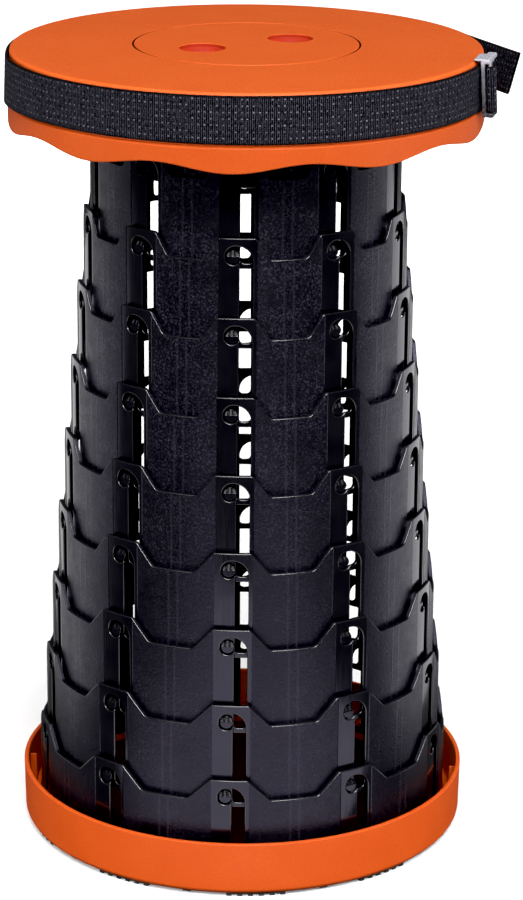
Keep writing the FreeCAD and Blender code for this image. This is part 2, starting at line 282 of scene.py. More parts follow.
def distance_to(points, path, closed):
    q = np.array(path + (path[:1] if closed else []), float)
    best = np.full(len(points), 1e9)
    for a, b in zip(q, q[1:]):
        d = b - a
        t = np.clip(((points - a) @ d) / max(d @ d, 1e-12), 0, 1)
        best = np.minimum(best, np.linalg.norm(points - a - t[:, None] * d, axis=1))
    return best


def fill(outer, holes, lattice, lines):
    """Triangles over the region between an outer loop and holes, with lattice points and inner lines."""
    verts, edges = [], []

    def path(points, closed):
        base = len(verts)
        verts.extend(points)
        edges.extend((base + k, base + k + 1) for k in range(len(points) - 1))
        if closed:
            edges.append((base + len(points) - 1, base))

    path(outer, True)
    for h in holes:
        path(h, True)
    for line in lines:
        path(line, False)
    pts = np.array(lattice, float).reshape(-1, 2)
    if len(pts):
        keep = inside(pts, outer)
        for h in holes:
            keep &= ~inside(pts, h)
        keep &= distance_to(pts, list(outer), True) > 0.9
        for h in holes:
            keep &= distance_to(pts, list(h), True) > 0.9
        for line in lines:
            keep &= distance_to(pts, list(line), False) > 0.5
        verts.extend(tuple(p) for p in pts[keep])
    got = delaunay_2d_cdt([Vector(p) for p in verts], edges, [], 0, 1e-7)
    v = np.array([tuple(p) for p in got[0]], float)
    tri = np.array([tuple(f) for f in got[2]], int)
    c = v[tri].mean(1)
    ok = inside(c, outer)
    for h in holes:
        ok &= ~inside(c, h)
    return v, tri[ok]


OUT_STEPS = [(math.radians(a)) for a in (0, 30, 60, 90)]


def slab(build, place, outer_edges, holes, seam, thick, depth, lattice, out_lines, in_lines,
         bevel_out, bevel_in, face_mat, wall_mat, tilt=None, mid_of=None, edge_mat=None):
    """A wall with rounded edges on a flat pattern. outer_edges are (points, side) that go round the material;
    seam is the loop's filler points between them. place maps (u, v, depth below the outer face) to space,
    and gives the three local axes there."""
    def emit(pts, deps, local, faces, mats, flat):
        pos, axes = place(pts, deps)
        normals = (
            local[:, :1] * axes[0] + local[:, 1:2] * axes[1] + local[:, 2:3] * axes[2]
        )
        build.add(pos, normals, faces, mats, uv=flat, mid=None if mid_of is None else mid_of(pts))

    edges = [(p, False, s) for p, s in outer_edges] + [(h, True, s) for h, s in holes]
    top_loops, bottom_loops = [], []
    for points, closed, side in edges:
        m = mitres(points, closed, side)
        p = np.array(points, float)
        unit = m / np.maximum(np.linalg.norm(m, axis=1), 1e-9)[:, None]
        loops = []
        for a in OUT_STEPS:
            e, d = bevel_out * (1 - math.sin(a)), bevel_out * (1 - math.cos(a))
            q = p + e * m
            loops.append((q, depth(q) + d, np.c_[-unit * math.sin(a), np.full(len(p), math.cos(a))]))
        top_loops.append([tuple(x) for x in loops[0][0]])
        for a in reversed(OUT_STEPS):
            e, d = bevel_in * (1 - math.sin(a)), bevel_in * (1 - math.cos(a))
            q = p + e * m
            loops.append((q, thick(q) - d, np.c_[-unit * math.sin(a), np.full(len(p), -math.cos(a))]))
        bottom_loops.append([tuple(x) for x in loops[-1][0]])
        n = len(p)
        pts = np.concatenate([x[0] for x in loops])
        deps = np.concatenate([x[1] for x in loops])
        local = np.concatenate([x[2] for x in loops])
        quads, mats = [], []
        for k in range(len(loops) - 1):
            for i in range(n if closed else n - 1):
                j = (i + 1) % n
                quads.append((k * n + i, k * n + j, (k + 1) * n + j, (k + 1) * n + i))
                mats.append(edge_mat if k < 3 and edge_mat is not None else wall_mat((p[i] + p[j]) / 2))
        emit(pts, deps, local, quads, mats, pts)

    for loops, outward in ((top_loops, True), (bottom_loops, False)):
        ends = [l for l, e in zip(loops, edges) if not e[1]]
        rings_ = [l for l, e in zip(loops, edges) if e[1]]
        outer = []
        for k, l in enumerate(ends):
            outer += l + seam(l[-1], ends[(k + 1) % len(ends)][0])
        if not ends:
            outer, rings_ = rings_[0], rings_[1:]
        v, tri = fill(outer, rings_, lattice, out_lines if outward else in_lines)
        c = v[tri].mean(1)
        if outward:
            local = np.tile((0.0, 0.0, 1.0), (len(v), 1))
            if tilt is not None:
                local = tilt(v)
            emit(v, depth(v), local, tri, [face_mat(x) for x in c], v)
        else:
            local = np.tile((0.0, 0.0, -1.0), (len(v), 1))
            emit(v, thick(v), local, tri, 0, v)


def profile(points, radii, steps=6, closed=True):
    """A lathe outline with rounded corners: (r, z, nr, nz) at each point, normals outwards."""
    path, n = [], len(points)
    area = sum(
        points[i - 1][0] * points[i][1] - points[i][0] * points[i - 1][1] for i in range(n)
    )
    sign = 1 if area > 0 else -1

    def normal(a, b):
        d = np.array(b, float) - np.array(a, float)
        d /= max(np.linalg.norm(d), 1e-9)
        return np.array([d[1], -d[0]]) * sign

    for i in range(n):
        p = points[i]
        ends = not closed and i in (0, n - 1)
        if ends:
            m = normal(points[0], points[1]) if i == 0 else normal(points[-2], points[-1])
            path.append((p[0], p[1], m[0], m[1]))
            continue
        na, nb = normal(points[i - 1], p), normal(p, points[(i + 1) % n])
        if radii[i] <= 0:
            m = na + nb
            m /= max(np.linalg.norm(m), 1e-9)
            path.append((p[0], p[1], m[0], m[1]))
            continue
        trio = [points[i - 1], p, points[(i + 1) % n]]
        arc = fillet(trio, [0, radii[i], 0], steps=steps)[1:-1]
        if len(arc) < 2:
            m = na + nb
            m /= max(np.linalg.norm(m), 1e-9)
            path.append((p[0], p[1], m[0], m[1]))
            continue
        for k, q in enumerate(arc):
            t = k / (len(arc) - 1)
            ang = math.acos(max(-1, min(1, float(na @ nb))))
            if ang < 1e-4:
                m = na
            else:
                m = (math.sin((1 - t) * ang) * na + math.sin(t * ang) * nb) / math.sin(ang)
            path.append((q[0], q[1], m[0], m[1]))
    return path


def lathe(build, prof, segments, mat=0, shift=None, closed=True, az0=0.0, az1=360.0):
    """Turns a profile about the axis. shift(azimuth, index) moves a point by (dr, dz)."""
    full = abs(az1 - az0 - 360.0) < 1e-6
    count = segments if full else segments + 1
    k = len(prof)
    verts, normals, uv = [], [], []
    for s in range(count):
        az = az0 + (az1 - az0) * s / segments
        a = math.radians(az)
        sa, ca = math.sin(a), math.cos(a)
        for i, (r, z, nr, nz) in enumerate(prof):
            dr, dz = shift(az, i) if shift else (0.0, 0.0)
            rr, zz = r + dr, z + dz
            verts.append((rr * sa, -rr * ca, zz))
            normals.append((nr * sa, -nr * ca, nz))
            uv.append((a * 120.0, zz))
    faces = []
    for s in range(segments):
        t = (s + 1) % count if full else s + 1
        for i in range(k if closed else k - 1):
            j = (i + 1) % k
            faces.append((s * k + i, s * k + j, t * k + j, t * k + i))
    if not isinstance(mat, int):
        mat = list(mat) * segments
    build.add(verts, normals, faces, mat, uv=uv)


# ------------------------------------------------------------------ materials
def material(name):
    m = bpy.data.materials.new(name)
    m.use_nodes = True
    tree = m.node_tree
    tree.nodes.clear()
    out = tree.nodes.new("ShaderNodeOutputMaterial")
    bsdf = tree.nodes.new("ShaderNodeBsdfPrincipled")
    tree.links.new(bsdf.outputs[0], out.inputs[0])
    return m, tree, bsdf


def make(tree, kind, inputs=None, **props):
    node = tree.nodes.new(kind)
    for k, v in props.items():
        setattr(node, k, v)
    for k, v in (inputs or {}).items():
        if isinstance(v, bpy.types.NodeSocket):
            tree.links.new(v, node.inputs[k])
        else:
            node.inputs[k].default_value = v
    return node


def math_node(tree, op, a, b=0.0, c=0.0):
    return make(tree, "ShaderNodeMath", {0: a, 1: b, 2: c}, operation=op).outputs[0]


def noise(tree, vector, scale, detail=2.0, rough=0.5):
    return make(
        tree,
        "ShaderNodeTexNoise",
        {"Vector": vector, "Scale": scale, "Detail": detail, "Roughness": rough},
    ).outputs[0]


def ramp(tree, value, lo, hi, to_lo=0.0, to_hi=1.0, smooth=False):
    return make(
        tree,
        "ShaderNodeMapRange",
        {0: value, 1: lo, 2: hi, 3: to_lo, 4: to_hi},
        interpolation_type="SMOOTHSTEP" if smooth else "LINEAR",
    ).outputs[0]


def mix(tree, factor, a, b):
    node = make(tree, "ShaderNodeMix", data_type="RGBA")
    for socket, value in ((node.inputs[0], factor), (node.inputs[6], a), (node.inputs[7], b)):
        if isinstance(value, bpy.types.NodeSocket):
            tree.links.new(value, socket)
        else:
            socket.default_value = value
    return node.outputs[2]


def bump(tree, height, strength, distance, normal=None):
    node = make(
        tree, "ShaderNodeBump", {"Height": height, "Strength": strength, "Distance": distance}
    )
    if normal is not None:
        tree.links.new(normal, node.inputs["Normal"])
    return node.outputs[0]


def rgb(*c):
    return (c[0], c[1], c[2], 1.0)


def coords(tree):
    return make(tree, "ShaderNodeTexCoord").outputs["Object"]


def flat_uv(tree, layer="flat"):
    node = make(tree, "ShaderNodeUVMap", uv_map=layer)
    split = make(tree, "ShaderNodeSeparateXYZ", {0: node.outputs[0]})
    return split.outputs[0], split.outputs[1], node.outputs[0]


def moulded(name, light, dark, rough=(0.36, 0.5), grain=1500.0, height=0.00006, spec=0.5, pitted=0.93):
    """Fine-grained moulded plastic: a soft mottle, a pitted grain and slight gloss changes."""
    m, t, b = material(name)
    p = coords(t)
    cloud = noise(t, p, 38.0, 3.0)
    pits = noise(t, p, grain, 2.0, 0.6)
    tone = ramp(t, cloud, 0.3, 0.7)
    pit = ramp(t, pits, 0.36, 0.6, 0.0, 1.0)
    first = mix(t, tone, rgb(*dark), rgb(*light))
    deep = mix(t, pit, rgb(*[c * pitted for c in dark]), first)
    t.links.new(deep, b.inputs["Base Color"])
    t.links.new(ramp(t, pits, 0.3, 0.7, rough[1], rough[0]), b.inputs["Roughness"])
    t.links.new(bump(t, pits, 0.55, height), b.inputs["Normal"])
    b.inputs["Specular IOR Level"].default_value = spec
    return m


def scuffed_plastic_painted_top_light(name):
    """Smoky buckle plastic with random pale scuffs, darker towards the bottom, and a pale top painted as light from
    above.
    """
    m, t, b = material(name)
    p = coords(t)
    z = make(t, "ShaderNodeSeparateXYZ", {0: p}).outputs[2]
    scuff = noise(t, p, 700.0, 3.0, 0.6)
    cloud = noise(t, p, 160.0, 2.0)
    # painted light: the top of the buckle turns pale, as if lit from above; lower down the colour gets darker towards
    # the bottom
    high = ramp(t, math_node(t, "ADD", z, math_node(t, "MULTIPLY", cloud, 0.004)), 0.446, 0.4525, 0.0, 1.0, True)
    low = ramp(t, z, 0.419, 0.446, 0.0, 1.0, True)
    base = mix(t, low, rgb(0.035, 0.034, 0.040), rgb(0.17, 0.165, 0.19))
    base = mix(t, high, base, rgb(0.44, 0.43, 0.48))
    base = mix(t, ramp(t, scuff, 0.45, 0.7, 0.0, 0.35), base, rgb(0.30, 0.29, 0.33))
    t.links.new(base, b.inputs["Base Color"])
    t.links.new(ramp(t, scuff, 0.3, 0.7, 0.2, 0.36), b.inputs["Roughness"])
    t.links.new(bump(t, scuff, 0.5, 0.00006), b.inputs["Normal"])
    return m


def ring_panel(name):
    """Charcoal moulded wall: eroded grain, painted glints as bright flecks in the colour (stronger higher up the
    rings), and faint flow lines.
    """
    m, t, b = material(name)
    p = coords(t)
    u, v, _ = flat_uv(t, "mid")
    coarse = noise(t, p, 640.0, 3.0, 0.65)
    fine = noise(t, p, 860.0, 3.0, 0.7)
    cloud = noise(t, p, 30.0, 3.0)
    mottle = noise(t, p, 160.0, 2.0)
    # painted glints: bright flecks in the colour that stand in for glints, made stronger higher up the rings
    painted_glint_flecks = ramp(t, fine, 0.50, 0.63, 0.0, 1.0, True)
    patch = ramp(t, noise(t, p, 60.0, 2.0), 0.35, 0.65, 0.35, 1.0)
    high = make(t, "ShaderNodeSeparateXYZ", {0: p}).outputs[2]
    patch = math_node(t, "MULTIPLY", patch, ramp(t, high, 0.14, 0.30, 0.38, 1.0, True))
    painted_glint_flecks = math_node(t, "MULTIPLY", painted_glint_flecks, patch)
    line = None
    for at in (-2.6, 2.6):
        d = math_node(t, "ABSOLUTE", math_node(t, "ADD", u, -at * MM))
        one = ramp(t, d, 0.0, 0.0011, 1.0, 0.0, True)
        line = one if line is None else math_node(t, "MAXIMUM", line, one)
    wide = ramp(t, math_node(t, "ABSOLUTE", u), 0.002, 0.009, 1.0, 0.0, True)
    base = mix(t, ramp(t, cloud, 0.3, 0.7), rgb(0.0022, 0.0021, 0.0034), rgb(0.0050, 0.0047, 0.0068))
    base = mix(t, ramp(t, coarse, 0.35, 0.65), mix(t, 0.5, base, rgb(0.0015, 0.0015, 0.002)), base)
    base = mix(t, math_node(t, "MULTIPLY", painted_glint_flecks, 0.8), base, rgb(0.036, 0.033, 0.051))
    base = mix(t, math_node(t, "MULTIPLY", line, 0.16), base, rgb(0.05, 0.046, 0.064))
    t.links.new(base, b.inputs["Base Color"])
    rough = ramp(t, coarse, 0.3, 0.7, 0.44, 0.27)
    rough = math_node(t, "ADD", rough, ramp(t, mottle, 0.3, 0.7, -0.04, 0.05))
    rough = math_node(t, "SUBTRACT", rough, math_node(t, "MULTIPLY", wide, 0.05))
    t.links.new(rough, b.inputs["Roughness"])
    height = math_node(t, "ADD", coarse, math_node(t, "MULTIPLY", fine, 0.5))
    height = math_node(t, "ADD", height, math_node(t, "MULTIPLY", line, 0.3))
    t.links.new(bump(t, height, 0.8, 0.00020), b.inputs["Normal"])
    b.inputs["Specular IOR Level"].default_value = 0.5
    b.inputs["Specular Tint"].default_value = rgb(0.76, 0.70, 1.0)
    return m


def ring_band(name):
    """Polished running surface beside a slot, with hair-fine vertical polishing marks."""
    m, t, b = material(name)
    p = coords(t)
    u, v, vec = flat_uv(t)
    stretch = make(t, "ShaderNodeMapping", {"Vector": p, "Scale": (1.0, 1.0, 0.06)}).outputs[0]
    streak = noise(t, stretch, 900.0, 2.0)
    wave = noise(t, p, 70.0, 1.0)
    base = mix(t, ramp(t, wave, 0.3, 0.7), rgb(0.0025, 0.0025, 0.0035), rgb(0.005, 0.0048, 0.0062))
    t.links.new(base, b.inputs["Base Color"])
    t.links.new(ramp(t, streak, 0.3, 0.7, 0.10, 0.20), b.inputs["Roughness"])
    t.links.new(
        bump(t, math_node(t, "ADD", math_node(t, "MULTIPLY", wave, 2.0), math_node(t, "MULTIPLY", streak, 0.25)), 0.35, 0.00007),
        b.inputs["Normal"],
    )
    b.inputs["Specular IOR Level"].default_value = 0.72
    b.inputs["Specular Tint"].default_value = rgb(0.78, 0.73, 1.0)
    return m


def rubber(name):
    m, t, b = material(name)
    p = coords(t)
    fine = noise(t, p, 1400.0, 3.0)
    dust = noise(t, p, 90.0, 4.0)
    base = mix(t, ramp(t, dust, 0.35, 0.75), rgb(0.018, 0.018, 0.020), rgb(0.055, 0.052, 0.050))
    t.links.new(base, b.inputs["Base Color"])
    t.links.new(ramp(t, fine, 0.3, 0.7, 0.7, 0.92), b.inputs["Roughness"])
    t.links.new(bump(t, fine, 0.6, 0.00008), b.inputs["Normal"])
    return m


def steel(name):
    m, t, b = material(name)
    p = coords(t)
    fine = noise(t, p, 1100.0, 2.0)
    base = mix(t, ramp(t, fine, 0.3, 0.7), rgb(0.48, 0.48, 0.49), rgb(0.66, 0.66, 0.67))
    t.links.new(base, b.inputs["Base Color"])
    t.links.new(ramp(t, fine, 0.3, 0.7, 0.25, 0.42), b.inputs["Roughness"])
    t.links.new(bump(t, fine, 0.3, 0.00004), b.inputs["Normal"])
    b.inputs["Metallic"].default_value = 1.0
    return m


def webbing(name, painted_light_lift=1.0, spot=0.8):
    """Woven strap: lengthwise ribs crossed by picks, with rows of lighter floats, painted shadow darkening both edges,
    and a lift factor that paints light onto a brighter copy.
    """
    m, t, b = material(name)
    u, v, vec = flat_uv(t)
    p = coords(t)
    pick, rib, row = 0.00105, 0.00092, 0.00336
    wobble = math_node(t, "MULTIPLY", noise(t, p, 240.0, 1.0), 0.00035)
    uu = math_node(t, "ADD", u, wobble)
    ribs = math_node(t, "DIVIDE", v, rib)
    phase = math_node(t, "DIVIDE", uu, pick)
    across = math_node(t, "SINE", math_node(t, "MULTIPLY", ribs, math.pi))
    across = math_node(t, "ABSOLUTE", across)
    along = math_node(t, "SINE", math_node(t, "MULTIPLY", phase, 2 * math.pi))
    along = ramp(t, along, -0.35, 0.95)
    across = ramp(t, across, 0.0, 0.8, 0.35, 1.0)
    knit = math_node(t, "MULTIPLY", across, along)
    knit = math_node(t, "MULTIPLY", knit, ramp(t, noise(t, p, 620.0, 2.0), 0.3, 0.7, 0.15, 1.45))
    rows = math_node(t, "FRACT", math_node(t, "ADD", math_node(t, "DIVIDE", v, row), 0.446))
    rows = ramp(t, math_node(t, "ABSOLUTE", math_node(t, "SUBTRACT", rows, 0.5)), 0.02, 0.17, 1.0, 0.0, True)
    dash = math_node(t, "SINE", math_node(t, "MULTIPLY", math_node(t, "DIVIDE", uu, 3.0 * pick), 2 * math.pi))
    dash = ramp(t, dash, 0.45, 0.9, 0.0, 1.0, True)
    spots = math_node(t, "MULTIPLY", rows, dash)
    uneven = ramp(t, noise(t, p, 330.0, 3.0), 0.38, 0.68)
    spots = math_node(t, "MULTIPLY", spots, uneven)
    # the lift factor is painted light: it brightens a copy of the strap's weave
    base = mix(t, knit, rgb(0.0003 * painted_light_lift, 0.0003 * painted_light_lift, 0.0005 * painted_light_lift), rgb(0.058 * painted_light_lift, 0.0555 * painted_light_lift, 0.076 * painted_light_lift))
    base = mix(t, math_node(t, "MULTIPLY", spots, spot), base, rgb(0.27, 0.26, 0.32))
    # painted shadow: both edges of the strap are darkened, as the shade where it tucks under the seat rim
    painted_edge_shadow = ramp(t, math_node(t, "ABSOLUTE", math_node(t, "SUBTRACT", v, 0.0127)), 0.0110, 0.0125, 0.0, 0.9, True)
    base = mix(t, painted_edge_shadow, base, rgb(0.0030, 0.0012, 0.0010))
    t.links.new(base, b.inputs["Base Color"])
    t.links.new(ramp(t, knit, 0.0, 1.0, 0.85, 0.52), b.inputs["Roughness"])
    height = math_node(t, "ADD", knit, math_node(t, "MULTIPLY", spots, 0.5))
    t.links.new(bump(t, height, 0.8, 0.00028), b.inputs["Normal"])
    b.inputs["Sheen Weight"].default_value = 0.006
    b.inputs["Specular IOR Level"].default_value = 0.08
    b.inputs["Sheen Roughness"].default_value = 0.4
    return m


ORANGE_TOP = moulded("seat_orange", (0.67, 0.119, 0.023), (0.62, 0.099, 0.017), (0.40, 0.54), 1300.0, 0.00005, 0.22)
# painted shade: the skirt is a darker copy of the seat's orange
ORANGE_SKIRT_PAINTED_SHADE = moulded("skirt_orange_painted_shade", (0.52, 0.085, 0.016), (0.475, 0.071, 0.012), (0.40, 0.54), 1500.0, 0.00004, 0.14)
ORANGE_CAP = moulded("cap_orange", (0.69, 0.120, 0.022), (0.635, 0.101, 0.017), (0.38, 0.5), 1900.0, 0.00005, 0.24)
ORANGE_TRAY = moulded("tray_orange", (0.63, 0.095, 0.016), (0.58, 0.079, 0.012), (0.38, 0.52), 1500.0, 0.00006, 0.16)
# painted shade: a near-black orange for the gap round the cap
GAP_PAINTED_SHADE = moulded("seat_gap_painted_shade", (0.035, 0.005, 0.003), (0.020, 0.003, 0.002), (0.55, 0.75), 900.0, 0.00005, 0.08)
# painted shade: a darker red for the inside of the finger cups
CUP_PAINTED_SHADE = moulded("finger_cup_painted_shade", (0.46, 0.034, 0.012), (0.38, 0.026, 0.009), (0.40, 0.52), 1500.0, 0.00005, 0.2)
# painted shade: a dark red-brown for the tray floor inside the tower
TRAY_WELL_PAINTED_SHADE = moulded("tray_well_painted_shade", (0.11, 0.012, 0.002), (0.08, 0.009, 0.0015), (0.6, 0.8), 900.0, 0.00008, 0.05)
PANEL = ring_panel("ring_panel")
PIN = moulded("ring_pin", (0.0065, 0.0062, 0.0085), (0.0035, 0.0034, 0.0048), (0.26, 0.40), 1600.0, 0.00005, 0.16)
EDGE = moulded("ring_edge", (0.010, 0.009, 0.013), (0.006, 0.0056, 0.008), (0.16, 0.26), 900.0, 0.00002, 0.9)
BAND = ring_band("ring_band")
RUBBER = rubber("foot_rubber")
STEEL = steel("screw_steel")
WEB = webbing("strap_webbing")
# painted light: the tail is a lighter copy of the strap's webbing
WEB_TAIL_PAINTED_LIGHT = webbing("tail_webbing_painted_light", 1.15, 1.0)
BUCKLE = scuffed_plastic_painted_top_light("buckle_plastic")


# ------------------------------------------------------------------ rings
def valley_path(n, half):
    """Half of the dip between two tabs, from its middle outwards (1) or inwards (-1): (angle from the middle, z)."""
    r = ring_radius(n)
    top = pocket_z(n) + TAB_RISE
    wide = r * math.sin(math.radians(STEP / 2 - math.degrees(TAB_HALF / r)))
    low = r * math.sin(math.radians(VALLEY_HALF_DEG))
    pts = fillet(
        [(0, top - VALLEY_DROP), (low, top - VALLEY_DROP), (wide, top), (wide + 8, top)],
        [0, 3.5, 2.5, 0],
        steps=6,
    )[:-1]
    pts = densify(pts, 2.4)
    out = [(math.degrees(math.asin(x / r)) * half, z) for x, z in pts]
    return out if half > 0 else out[::-1]


def slot_path(n):
    z = pocket_z(n)
    low = z - PITCH + SLOT_FLOOR
    lip = math.sqrt(POCKET_R**2 - (PIN_OFFSET - SLOT_LEFT) ** 2)
    left = -PIN_OFFSET - POCKET_R
    a = math.radians(250)

    def at(x, dz):
        return (x, z + dz)

    end = SLOT_END_R if n < RINGS else 0.0
    pts = densify([(SLOT_RIGHT, low + end), at(SLOT_RIGHT, -2.5)], 2.6)
    pts += arc3(at(SLOT_RIGHT, -2.5), at(1.3, 3.5), at(-5.0, 6.1))[1:]
    pts += arc3(at(-5.0, 6.1), at(-9.4, 4.5), at(left, 0.6))[1:]
    pts += [at(left, 0)]
    pts += arc3(
        at(left, 0),
        at(-PIN_OFFSET + POCKET_R * math.cos(a), POCKET_R * math.sin(a)),
        at(-SLOT_LEFT, -lip),
    )[1:]
    foot = fillet(
        [at(-SLOT_LEFT, -lip), (-SLOT_LEFT, low), (SLOT_RIGHT, low), (SLOT_RIGHT, low + end)],
        [0, end, end, 0],
        steps=5,
    )
    pts += densify(foot, 2.6)[1:-1]
    clean = [pts[0]]
    for q in pts[1:]:
        if math.dist(q, clean[-1]) > 0.05 and math.dist(q, pts[0]) > 0.05:
            clean.append(q)
    r = ring_radius(n)
    return [(r * math.asin(x / r), v) for x, v in clean]


def pin_build(n):
    """A pin of ring n, at azimuth 0: flat below, with a ribbed ramp above that lets it snap in."""
    b = Build()
    z0 = pocket_z(n + 1)
    root = ring_radius(n) - 0.6
    tip = ring_radius(n + 1) - PIN_RECESS
    rho = [0.0, 0.45, 0.8, 1.1, 1.5, 1.9, 2.3, 2.7, 3.0, 3.2, 3.32, 3.42, 3.48, 3.5]
    seg = 40

    def height(x, z):
        ramp_ = max(0.0, z - 0.3) / 3.2 * 1.9
        rib = 0.0
        if z > 0.55:
            for c in (-1.25, 1.25):
                d = abs(x - c)
                if d < 0.55:
                    rib = max(rib, (1 - (d / 0.55) ** 2) * min(1.0, (z - 0.55) / 0.3))
            if z > 2.7:
                rib *= max(0.0, 1 - (z - 2.7) / 0.4)
        h = tip - ramp_ + 0.55 * rib
        q = math.hypot(x, z)
        if q > 3.2:
            h -= 0.3 * (1 - math.sqrt(max(0.0, 1 - ((q - 3.2) / 0.3) ** 2)))
        return h

    verts, normals = [], []
    for q in rho:
        for k in range(seg):
            a = 2 * math.pi * k / seg
            x, z = q * math.cos(a), q * math.sin(a)
            h = height(x, z)
            e = 0.06
            gx = (height(x + e, z) - height(x - e, z)) / (2 * e)
            gz = (height(x, z + e) - height(x, z - e)) / (2 * e)
            gx, gz = max(-3, min(3, gx)), max(-3, min(3, gz))
            verts.append((x, -h, z0 + z))
            normals.append((-gx, -1.0, -gz))
    faces = []
    for i in range(len(rho) - 1):
        for k in range(seg):
            j = (k + 1) % seg
            faces.append((i * seg + k, i * seg + j, (i + 1) * seg + j, (i + 1) * seg + k))
    mats = [2 if np.mean([verts[k][2] for k in f]) - z0 > 0.3 else 1 for f in faces]
    b.add(verts, normals, faces, mats)
    verts, normals, faces = [], [], []
    for k in range(seg):
        a = 2 * math.pi * k / seg
        x, z = 3.5 * math.cos(a), 3.5 * math.sin(a)
        verts += [(x, -height(x * 0.9999, z * 0.9999), z0 + z), (x, -root, z0 + z)]
        normals += [(math.cos(a), 0, math.sin(a))] * 2
    for k in range(seg):
        j = (k + 1) % seg
        faces.append((2 * k, 2 * j, 2 * j + 1, 2 * k + 1))
    b.add(verts, normals, faces, 2)
    return b


def ring_object(n):
    r = ring_radius(n)
    slotted = n > 1
    az0 = slot_azimuth(n)
    shift = math.degrees(TAB_SHIFT / r)
    top = pocket_z(n) + TAB_RISE if slotted else 447.6
    low = pocket_z(n) - PITCH + RING_FLOOR if n < RINGS else 5.0
    left_az, right_az = shift - STEP / 2, shift + STEP / 2
    L, R = BAND_LEFT, BAND_RIGHT
    left_u, right_u = r * math.radians(left_az), r * math.radians(right_az)

    if slotted:
        path = [(r * math.radians(left_az + a), z) for a, z in valley_path(n, 1)]
        path += [(r * math.radians(right_az + a), z) for a, z in valley_path(n, -1)]
        upper = densify(path, 2.6)
    else:
        upper = densify([(left_u, top), (right_u, top)], 2.6)
    upper = upper[::-1]
    cuts = sorted({left_u, right_u, L, L + 0.3, R - 0.3, R})
    lower = densify([(x, low) for x in cuts], 2.6)

    def place(pts, deps):
        pts = np.asarray(pts, float)
        a = pts[:, 0] / r
        rad = r - deps
        pos = np.c_[rad * np.sin(a), -rad * np.cos(a), pts[:, 1]]
        tang = np.c_[np.cos(a), np.sin(a), np.zeros(len(a))]
        up = np.tile((0.0, 0.0, 1.0), (len(a), 1))
        out = np.c_[np.sin(a), -np.cos(a), np.zeros(len(a))]
        return pos, (tang, up, out)

    def depth(q):
        u = np.asarray(q)[:, 0]
        return BAND_DEPTH * np.clip(np.minimum((u - L) / 0.3, (R - u) / 0.3), 0, 1)

    z_hi, z_lo = pocket_z(n) + 4.2, pocket_z(n) - PITCH + SLOT_FLOOR

    def thick(q):
        q = np.asarray(q)
        if not slotted:
            return np.full(len(q), WALL)
        u, v = q[:, 0], q[:, 1]
        k = np.clip((u + 11.4) / 0.3 + 0.5, 0, 1) * np.clip((0.0 - u) / 0.3 + 0.5, 0, 1)
        k = k * np.clip((z_hi - v) / 0.3 + 0.5, 0, 1) * np.clip((v - z_lo) / 0.3 + 0.5, 0, 1)
        return WALL - (WALL - TRACK_SKIN) * k

    def seam(a, b):
        count = max(2, int(abs(b[1] - a[1]) / 3.4))
        return [(a[0], a[1] + (b[1] - a[1]) * k / count) for k in range(1, count)]

    def along(u, z_from, z_to, step=4.0):
        return densify([(u, z_from), (u, z_to)], step)

    line_top = top - 1.0
    lines = [along(u, low + 1.0, line_top) for u in (L - 0.25, L, L + 0.3, L + 0.55)]
    right_top = line_top if not slotted else line_top - 1.6
    lines += [along(u, low + 1.0, right_top) for u in (R - 0.55, R - 0.3, R, R + 0.25)]
    inner_lines = []
    if slotted:
        for u in (-11.4 - 0.17, -11.4 + 0.17):
            inner_lines.append(along(u, z_lo + 0.5, z_hi - 0.5))
        for z in (z_lo - 0.17, z_lo + 0.17):
            inner_lines.append(densify([(-10.9, z), (-4.9, z)], 3.0))

    def tilt(v):
        u = v[:, 0]
        local = np.tile((0.0, 0.0, 1.0), (len(u), 1))
        for at, way in ((L, 1.0), (L + 0.3, 1.0), (R - 0.3, -1.0), (R, -1.0)):
            near = np.abs(u - at) < 0.02
            local[near, 0] = 0.36 * way
        return local

    xs = np.arange(left_u + 3.4, right_u - 1.0, 3.5)
    zs = np.arange(low + 2.0, top - 0.5, 3.7)
    lattice = [(x + (1.7 if k % 2 else 0.0), z) for k, z in enumerate(zs) for x in xs]

    def in_band(c):
        return 1 if L + 0.1 < c[0] < R - 0.1 else 0

    def mid_of(pts):
        u = np.asarray(pts)[:, 0]
        m = np.where(u < (left_u + right_u) / 2, u - left_u, u - right_u)
        return np.c_[m, np.asarray(pts)[:, 1]]

    sector = Build()
    slab(
        sector, place, [(upper, 1), (lower, 1)],
        [(slot_path(n), -1)] if slotted else [],
        seam, thick, depth, lattice, lines, inner_lines, 0.60, 0.3,
        in_band, in_band, tilt, mid_of, 3,
    )
    whole = Build()
    for c in range(COLUMNS):
        whole.turned(sector, az0 + c * STEP)
    if n < RINGS:
        one = pin_build(n)
        offset = math.degrees(math.asin(PIN_OFFSET / ring_radius(n + 1)))
        for c in range(COLUMNS):
            whole.turned(one, slot_azimuth(n + 1) - offset + c * STEP)
    if n == 1:
        inner = r - WALL
        lathe(
            whole,
            profile(
                [(inner + 0.4, 438.9), (inner + 0.4, 441.4), (65.0, 441.4), (65.0, 438.9)],
                [0, 0, 0.5, 0.5],
            ),
            180,
        )
    ob = whole.object("ring_%02d_wall" % n, [PANEL, BAND, PIN, EDGE])
    return ob


BODY = {1: "seat", 10: "base"}
for n in range(1, RINGS + 1):
    ob = ring_object(n)
    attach(ob, BODY.get(n, "stage_%02d" % n))
    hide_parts("ring_%02d" % n)

